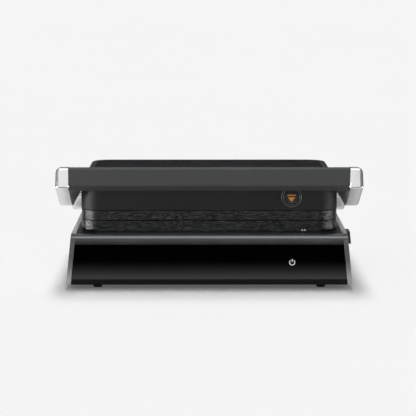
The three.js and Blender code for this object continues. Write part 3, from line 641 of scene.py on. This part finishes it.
def rod(name, axis, radius, start, end, u, v, sides=64):
    """A plain round bar, used only to bore holes."""
    def point(a, t):
        p, q = u + radius * math.cos(t), v + radius * math.sin(t)
        return {"x": (a, p, q), "y": (p, a, q), "z": (p, q, a)}[axis]

    def build(bm):
        turns = [2 * math.pi * i / sides for i in range(sides)]
        loft(bm, [[point(a, t) for t in turns] for a in (start, end)])
    return closed_mesh(name, build)


def combine(made, tools, operation="DIFFERENCE"):
    """Cuts the tools out of a piece, or joins them to it, and removes them."""
    for tool in tools:
        modifier = made.modifiers.new("combine", "BOOLEAN")
        modifier.operation = operation
        modifier.solver = "EXACT"
        modifier.object = tool
        bpy.context.view_layer.update()
        evaluated = made.evaluated_get(bpy.context.evaluated_depsgraph_get())
        mesh = bpy.data.meshes.new_from_object(evaluated)
        made.modifiers.clear()
        made.data = mesh
        bpy.data.objects.remove(tool)
    smooth_by_angle(made.data)


def even_normals(made):
    weighted = made.modifiers.new("even_normals", "WEIGHTED_NORMAL")
    weighted.keep_sharp = True


def place(made, body, slot_name, material, *nodes):
    """Gives a finished piece its material and its body, and hides the CAD nodes it stands for."""
    made.data.materials.clear()
    made.data.materials.append(material)
    even_normals(made)
    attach(made, body)
    if nodes:
        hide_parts(*nodes)


def corner_curve(corners, steps=6):
    """A closed outline through corners (u, v, radius); each corner is a quadratic curve."""
    points = []
    for i, (u, v, radius) in enumerate(corners):
        corner = Vector((u, v))
        if radius == 0:
            points.append(corner)
            continue
        before = Vector(corners[i - 1][:2]) - corner
        after = Vector(corners[(i + 1) % len(corners)][:2]) - corner
        start = corner + before.normalized() * radius
        end = corner + after.normalized() * radius
        for k in range(steps + 1):
            t = k / steps
            points.append(start * (1 - t) ** 2 + corner * 2 * t * (1 - t) + end * t ** 2)
    return points


def rounded_rectangle(low, high, radius, steps=14):
    """A rectangle from corner low to corner high, its corners drawn as quarter circles."""
    corners = [(1, -1), (1, 1), (-1, 1), (-1, -1)]
    points = []
    for k, (sx, sy) in enumerate(corners):
        x = (high if sx > 0 else low)[0] - sx * radius
        y = (high if sy > 0 else low)[1] - sy * radius
        for i in range(steps + 1):
            turn = math.pi / 2 * (k - 1 + i / steps)
            points.append((x + radius * math.cos(turn), y + radius * math.sin(turn)))
    return points


def fillet(radius, steps=6):
    """(inset, drop) pairs from an upright side (0, radius) to a flat top (radius, 0)."""
    turns = [math.pi / 2 * k / steps for k in range(steps + 1)]
    return [(radius * (1 - math.cos(t)), radius * (1 - math.sin(t))) for t in turns]


# ---- arms ----

def arm_outline(inset, rise):
    """The arm from the side; rise is how much its front lower corner climbs for each inset."""
    hub = []
    radius = HINGE["hub"] - inset
    for i in range(HUB_STEPS + 1):
        turn = math.radians(HUB_FROM + (HUB_TO - HUB_FROM) * i / HUB_STEPS)
        hub.append((HINGE["y"] + radius * math.cos(turn), HINGE["z"] + radius * math.sin(turn), 0))
    front, top, under = ARM["front"] + inset, ARM["top"] - inset, ARM["underside"] + inset
    return corner_curve([
        (front, ARM_SLOPE["from"] + rise * inset, 1.6),
        (front, top, 3.2),
        (ARM["bend"], top, 4),
        *hub,
        (ARM_REAR + inset, under, 2),
        (ARM_SLOPE["to"] + 0.2 * inset, under, 14),
    ], steps=8)


def arm_edge_round(toward):
    """The rounding of the outer edge where the outline faces (y, z)."""
    upward = (ARM_TOP_EDGE - ARM_EDGE) * max(0.0, toward.y) ** 2
    forward = (ARM_FRONT_EDGE - ARM_EDGE) * max(0.0, -toward.x) ** 2
    return ARM_EDGE + upward + forward


def make_arm(side, name):
    """A silver shell with a well rounded upper edge and a recess inside for its dark cover."""
    full, drawn_in = arm_outline(0, 0.67), arm_outline(1, 0.67)
    count = len(full)
    rounds = []
    for i in range(count):
        along = (full[(i + 1) % count] - full[i - 1]).normalized()
        outward = Vector((along.y, -along.x))
        if outward.dot(full[i] - drawn_in[i]) < 0:
            outward.negate()
        rounds.append(arm_edge_round(outward))
    for _ in range(4):
        rounds = [(rounds[i - 1] + 2 * rounds[i] + rounds[(i + 1) % count]) / 4 for i in range(count)]

    def build(bm):
        rings = []
        for part_in, drop in [(0.0, None)] + fillet(1.0, 8):
            ring = []
            for i in range(count):
                at = full[i] + (drawn_in[i] - full[i]) * part_in * rounds[i]
                x = ARM["inner"] + 0.6 if drop is None else ARM["outer"] - drop * rounds[i]
                ring.append((side * x, at.x, at.y))
            rings.append(ring)
        inner, margin = ARM["inner"], ARM_RECESS["margin"]
        for inset, x in ((0.6, inner), (margin, inner), (margin, inner + ARM_RECESS["depth"])):
            rings.insert(0, [(side * x, at.x, at.y) for at in arm_outline(inset, 0.2)])
        loft(bm, rings)
        bmesh.ops.bisect_plane(
            bm, geom=bm.verts[:] + bm.edges[:] + bm.faces[:],
            plane_co=(0, 0, ARM_SLOPE["from"]), plane_no=(0, 0, 1))
        width, height = ARM["outer"] - ARM["inner"], ARM["top"] - ARM_SLOPE["from"]
        for vert in bm.verts:
            up = max(0.0, (vert.co.z - ARM_SLOPE["from"]) / height)
            out = max(0.0, (abs(vert.co.x) - ARM["inner"]) / width)
            vert.co.x -= side * ARM_LEAN * up * out
    made = closed_mesh(name, build)
    bores = [
        rod("pivot_bore", "x", LID_PIVOT["bore"], side * 150, side * 172, LID_PIVOT["y"], LID_PIVOT["z"]),
        rod("shaft_bore", "x", HINGE["bore"], side * 150, side * 173, HINGE["y"], HINGE["z"]),
    ]
    combine(made, bores)
    return made


def make_arms(materials):
    for side, name in ((-1, "left_arm"), (1, "right_arm")):
        made = make_arm(side, f"{name}_shell")
        place(made, "arms", "arm_aluminium", materials["arm_aluminium"], name)


# ---- lid ----

def lid_ring(inset, z):
    """The lid's outline at height z, drawn in by inset."""
    low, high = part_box("lid_housing")
    radius = max(LID_RADIUS - inset, 0.4)
    near = (low.x / MM + inset, low.y / MM + inset)
    far = (high.x / MM - inset, high.y / MM - inset)
    return [(x, y, z) for x, y in rounded_rectangle(near, far, radius)]


def make_lid_housing():
    """A hollow moulding, open below, with a rounded top edge and a seat for the top panel."""
    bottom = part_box("lid_housing")[0].z / MM
    button = (LID_BUTTON["x"], LID_BUTTON["z"])

    def build(bm):
        rings = [lid_ring(LID_WALL, LID_CEILING), lid_ring(LID_WALL, bottom + 0.4)]
        rings.append(lid_ring(LID_WALL - 0.4, bottom))
        rings += [lid_ring(inset, bottom + drop) for inset, drop in reversed(fillet(0.8, 4))]
        rings += [lid_ring(inset, LID_TOP - drop) for inset, drop in fillet(LID_EDGE, 8)]
        rings.append(lid_ring(PANEL_LIP, LID_TOP))
        rings += [lid_ring(PANEL_INSET - drop, LID_TOP - inset) for inset, drop in fillet(0.5, 3)]
        rings.append(lid_ring(PANEL_INSET, PANEL_SEAT))
        loft(bm, rings)
    made = closed_mesh("lid_shell", build)

    def bracket_build(bm):
        left, right = LID_BUTTON["x"] - BRACKET["half"], LID_BUTTON["x"] + BRACKET["half"]
        front, rear = BRACKET["front"], BRACKET["rear"]
        corners = [(left, front), (right, front), (right, rear), (left, rear)]
        loft(bm, [[(u, v, z) for u, v in corners] for z in (BRACKET["bottom"], LID_CEILING + 1)])
    combine(made, [closed_mesh("bracket", bracket_build)], "UNION")
    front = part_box("lid_housing")[0].y / MM
    combine(made, [
        rod("pivot_bores", "x", LID_PIVOT["bore"], -170, 170, LID_PIVOT["y"], LID_PIVOT["z"]),
        rod("button_hole", "y", LID_BUTTON["radius"] + 0.4, front - 5, front + 6, *button),
        rod("stem_hole", "y", LID_BUTTON["stem"], front + 18, front + 26, *button),
    ])
    return made


def make_lid_top_panel():
    """The glossy inset: slightly crowned, with a fine rounded edge."""
    inset = PANEL_INSET + PANEL_GAP
    low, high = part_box("lid_housing")
    middle, half = (low.y + high.y) / 2 / MM, (high.y - low.y) / 2 / MM - inset

    def build(bm):
        rings = [lid_ring(inset, PANEL_SEAT + 0.3)]
        rings += [lid_ring(inset + step, LID_TOP - drop) for step, drop in fillet(PANEL_EDGE, 5)]
        loft(bm, rings)
        strips = 32  # enough lines across for a smooth crown
        for k in range(1, strips):
            bmesh.ops.bisect_plane(
                bm, geom=bm.verts[:] + bm.edges[:] + bm.faces[:],
                plane_co=(0, middle - half + 2 * half * k / strips, 0), plane_no=(0, 1, 0))
        for vert in bm.verts:
            if vert.co.z > PANEL_SEAT + 0.4:
                vert.co.z += PANEL_CROWN * (1 - ((vert.co.y - middle) / half) ** 2)
    return closed_mesh("lid_top_gloss", build)


def make_button_ring():
    """A round bezel with soft inner and outer edges."""
    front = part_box("upper_button_ring")[0].y / MM
    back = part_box("upper_button_ring")[1].y / MM
    outer, inner = LID_BUTTON["ring"], LID_BUTTON["radius"] + 0.4
    profile = [(outer, back)] + [(outer - a, front - 0.35 + b) for a, b in fillet(0.8, 5)]
    profile += [(inner + a, front - 0.35 + b) for a, b in reversed(fillet(0.8, 5))] + [(inner, back)]
    turns = [2 * math.pi * i / 96 for i in range(96)]
    centre = (LID_BUTTON["x"], LID_BUTTON["z"])

    def build(bm):
        loft(bm, [[(centre[0] + r * math.cos(t), y, centre[1] + r * math.sin(t)) for t in turns]
                  for r, y in profile], closed=True)
    return closed_mesh("button_bezel", build)


def make_button_trim(name, radius):
    """A thin bright ring that stands a little proud of the button's bezel."""
    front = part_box("upper_button_ring")[0].y / MM
    turns = [2 * math.pi * i / 96 for i in range(96)]
    middle = front - 0.1
    section = [(radius + TRIM_LINE * math.cos(t), middle + TRIM_LINE * math.sin(t)) for t in turns[::8]]

    def build(bm):
        loft(bm, [[(LID_BUTTON["x"] + r * math.cos(t), y, LID_BUTTON["z"] + r * math.sin(t)) for t in turns]
                  for r, y in section], closed=True)
    return closed_mesh(name, build)


def make_button_face():
    """A dished cap on the front of the release button, with a fine raised rim."""
    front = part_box("upper_release_button")[0].y / MM
    radius = LID_BUTTON["radius"] - 0.1
    profile = [(radius, front + 1.2)] + [(radius - a, front - 0.75 + b) for a, b in fillet(0.6, 5)]
    profile += [(radius - 1.1, front - 0.7), (radius - 1.5, front - 0.4)]
    profile += [(radius * 0.5, front - 0.3), (0.3, front - 0.27)]
    return lathe("button_face", profile, (LID_BUTTON["x"], LID_BUTTON["z"]))


def flat_mark(name, shapes, y, thick=0.12):
    """Thin inlays facing the front: each shape is a closed list of (x, z)."""
    def build(bm):
        for shape in shapes:
            loft(bm, [[(x, depth, z) for x, z in shape] for depth in (y, y - thick)])
    return closed_mesh(name, build)


def make_arrow_mark():
    """A bar over a triangle that points down."""
    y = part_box("upper_release_button")[0].y / MM - 0.28
    x, z = LID_BUTTON["x"], LID_BUTTON["z"]
    line = [(x - 5.2, z + 1.5), (x + 5.2, z + 1.5), (x + 5.2, z + 2.7), (x - 5.2, z + 2.7)]
    point = [(x - 4.4, z - 0.3), (x + 4.4, z - 0.3), (x + 0.3, z - 5.4), (x - 0.3, z - 5.4)]
    return flat_mark("arrow_mark", [line, point], y)


def arc_band(x, z, radius, width, start, end, steps=40):
    """A ring's part between two angles in degrees, as a closed outline."""
    turns = [math.radians(start + (end - start) * i / steps) for i in range(steps + 1)]

    def arc(r):
        return [(x + r * math.cos(t), z + r * math.sin(t)) for t in turns]
    return arc(radius + width / 2) + arc(radius - width / 2)[::-1]


def make_power_mark():
    """An open ring with a short upright stroke in its gap."""
    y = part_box("control_panel_glass")[0].y / MM + 0.04
    x, z, radius, line = (POWER_MARK[key] for key in ("x", "z", "radius", "line"))
    left, right = x - line / 2, x + line / 2
    low, high = z + POWER_MARK["from"], z + POWER_MARK["to"]
    stroke = [(left, low), (right, low), (right, high), (left, high)]
    return flat_mark("power_mark", [arc_band(x, z, radius, line, 128, 412), stroke], y, 0.1)


def make_slider_dots():
    """Two small flat ovals side by side on the slider's pad."""
    low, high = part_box("lower_release_slider")
    x = (low.x + high.x) / 2 / MM
    z = high.z / MM - 2.1
    turns = [2 * math.pi * i / 24 for i in range(24)]
    dots = []
    for step in (-1.45, 1.45):
        dots.append([(x + step + 0.9 * math.cos(t), z + 0.5 * math.sin(t)) for t in turns])
    return flat_mark("slider_dots", dots, SLIDER_FRONT + 0.04)


def make_lid_pieces(materials):
    place(make_lid_housing(), "lid", "lid_plastic", materials["lid_plastic"], "lid_housing")
    place(make_lid_top_panel(), "lid", "lid_gloss", materials["lid_gloss"], "lid_top_panel")
    place(make_button_ring(), "lid", "button_gloss", materials["button_gloss"], "upper_button_ring")
    trims = {"button_trim_outer": LID_BUTTON["ring"], "button_trim_inner": LID_BUTTON["radius"] + 1.1}
    for name, radius in trims.items():
        place(make_button_trim(name, radius), "lid", "button_gloss", materials["trim_metal"])
    place(make_button_face(), "upper_button", "button_gloss", materials["button_gloss"])
    place(make_arrow_mark(), "upper_button", "button_gloss", materials["mark_bronze"])


def make_base_marks(materials):
    place(make_power_mark(), "base", "panel_glass", materials["mark_white"])
    place(make_slider_dots(), "lower_slider", "housing_plastic", materials["mark_white"])


# ---- CAD nodes that stay ----

def finish_cad_nodes(materials):
    """Gives each CAD node its material, and soft edges and even shading unless it is remade here."""
    slots = {entry["node"]: entry["material_slot"] for entry in frame["record"]["subparts"]}
    for node, made in NODES.items():
        made.data.materials.clear()
        made.data.materials.append(materials[FINISH_OF.get(node, slots[node])])
        if node in REMADE:
            continue
        smooth_by_angle(made.data)
        rounding = made.modifiers.new("soft_edges", "BEVEL")
        rounding.width = SOFT_EDGE.get(node, EDGE) * MM
        rounding.segments = 3
        rounding.limit_method = "ANGLE"
        rounding.angle_limit = math.radians(40)
        rounding.harden_normals = True
        even_normals(made)


make_camera()
make_floor()
make_dark_card()
make_softboxes()
make_world()
make_strip_light()
MATERIALS = make_materials()
finish_cad_nodes(MATERIALS)
make_arms(MATERIALS)
make_lid_pieces(MATERIALS)
make_base_marks(MATERIALS)

bpy.context.scene.view_settings.view_transform = "Standard"
